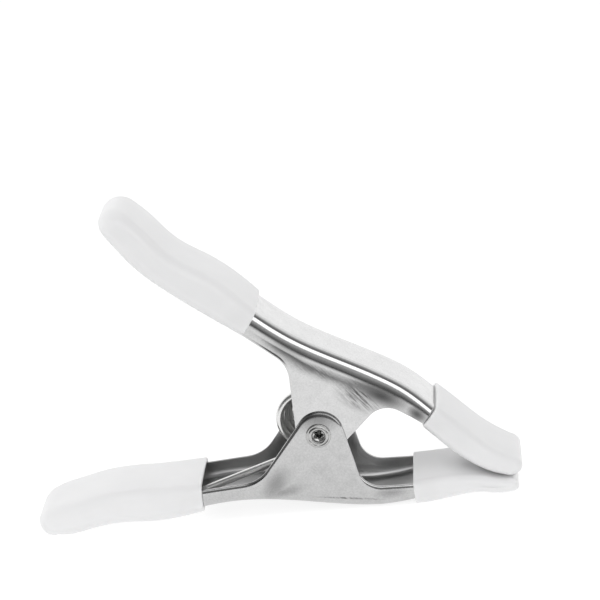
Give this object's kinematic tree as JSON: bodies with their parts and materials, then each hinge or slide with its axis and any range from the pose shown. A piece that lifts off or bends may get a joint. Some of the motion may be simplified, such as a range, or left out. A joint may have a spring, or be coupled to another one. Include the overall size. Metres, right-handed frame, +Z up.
{
  "type": "spring clamp",
  "caption": "Hand spring clamp: two pressed plated-steel arms on a hollow rivet, a coiled torsion spring, and white vinyl grips and jaw boots, lying closed on its lower arm.",
  "frame": {"origin": "on the table, under the middle of the clamp's length and width", "axes": "+X from the grips to the jaws, +Y across the clamp along the rivet, from its rolled end to its plain head, +Z up"},
  "size_m": [0.1588, 0.0282, 0.1078],
  "materials": {
    "plated_steel": "satin",
    "rivet_steel": "satin",
    "spring_steel": "gloss",
    "white_vinyl": "gloss"
  },
  "bodies": {
    "lower_half": {"lower_arm": "plated_steel", "pivot_rivet": "rivet_steel", "torsion_spring": "spring_steel", "lower_handle_grip": "white_vinyl", "lower_jaw_boot": "white_vinyl"},
    "upper_half": {"upper_arm": "plated_steel", "upper_handle_grip": "white_vinyl", "upper_jaw_boot": "white_vinyl"}
  },
  "joints": [
    {"name": "jaw_hinge", "type": "hinge", "parent": "lower_half", "child": "upper_half", "pos_m": [0.0156, 0, 0.0271], "axis": [0, -1, 0], "range_deg": [0, 50], "stiffness_Nm_per_rad": 0.6, "springref_deg": -8.59, "deforming": ["torsion_spring"]}
  ]
}
